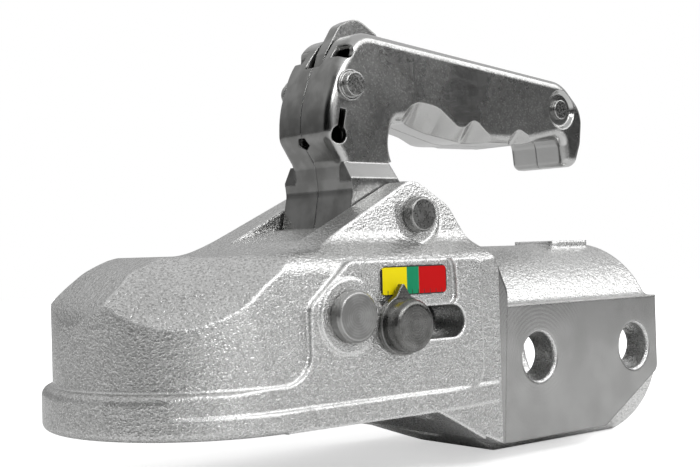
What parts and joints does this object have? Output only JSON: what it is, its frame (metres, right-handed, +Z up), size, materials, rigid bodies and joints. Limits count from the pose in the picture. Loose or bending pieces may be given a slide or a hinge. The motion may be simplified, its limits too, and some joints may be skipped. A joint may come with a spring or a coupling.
{
  "type": "trailer ball coupler",
  "caption": "Cast ball coupler with a sprung locking slide, wear pointer, jaw and lift lever, bolted to a round drawbar and closed over a towing ball.",
  "frame": {"origin": "centre of the towing ball when the coupler is closed on it", "axes": "+X back along the drawbar, +Z up, the side with the wear pointer at -Y"},
  "size_m": [0.1985, 0.0889, 0.1323],
  "materials": {
    "casting": "zinc plated sand casting, pebbled",
    "pressed_sheet": "zinc plated pressed sheet, glossy and mottled",
    "pin_steel": "turned steel",
    "dark_steel": "dark turned steel",
    "spring_steel": "spring wire",
    "scale_print": "printed film in three colour zones"
  },
  "bodies": {
    "casting": {"housing": "casting", "lever_pivot_pin": "pin_steel", "jaw_pin_near": "pin_steel", "jaw_pin_far": "pin_steel", "pointer_scale": "scale_print", "jaw_spacer_near": "pin_steel", "jaw_spacer_far": "pin_steel", "spring_seat": "pin_steel", "main_spring": "spring_steel"},
    "jaw": {"ball_jaw": "casting"},
    "slide": {"locking_block": "pin_steel", "slide_pin": "dark_steel", "wear_pointer": "dark_steel", "slide_washer": "dark_steel", "retaining_ring": "spring_steel"},
    "lever": {"lever_shell_near": "pressed_sheet", "lever_shell_far": "pressed_sheet", "pivot_bush": "pin_steel", "grip_spacer": "pin_steel", "grip_rivet": "pin_steel", "catch_pin": "pin_steel", "catch_spring": "spring_steel"},
    "catch": {"safety_catch": "pressed_sheet"}
  },
  "joints": [
    {"name": "lever_hinge", "type": "hinge", "parent": "casting", "child": "lever", "pos_m": [0.0575, 0, 0.043], "axis": [0, -1, 0], "range_deg": [0, 33]},
    {"name": "catch_hinge", "type": "hinge", "parent": "lever", "child": "catch", "pos_m": [0.0454, 0, 0.0807], "axis": [0, 1, 0], "range_deg": [0, 8], "stiffness_Nm_per_rad": 0.3},
    {"name": "pin_slide", "type": "slide", "parent": "casting", "child": "slide", "axis": [1, 0, 0], "range_m": [0, 0.0195], "deforming": ["main_spring"]},
    {"name": "jaw_hinge", "type": "hinge", "parent": "casting", "child": "jaw", "pos_m": [0.0208, 0, 0.0165], "axis": [0, -1, 0], "range_deg": [0, 16]}
  ],
  "couplings": [
    {"joint": "pin_slide", "follows": "lever_hinge", "m_per_rad": 0.03385},
    {"joint": "jaw_hinge", "follows": "lever_hinge", "ratio": 0.4848}
  ]
}
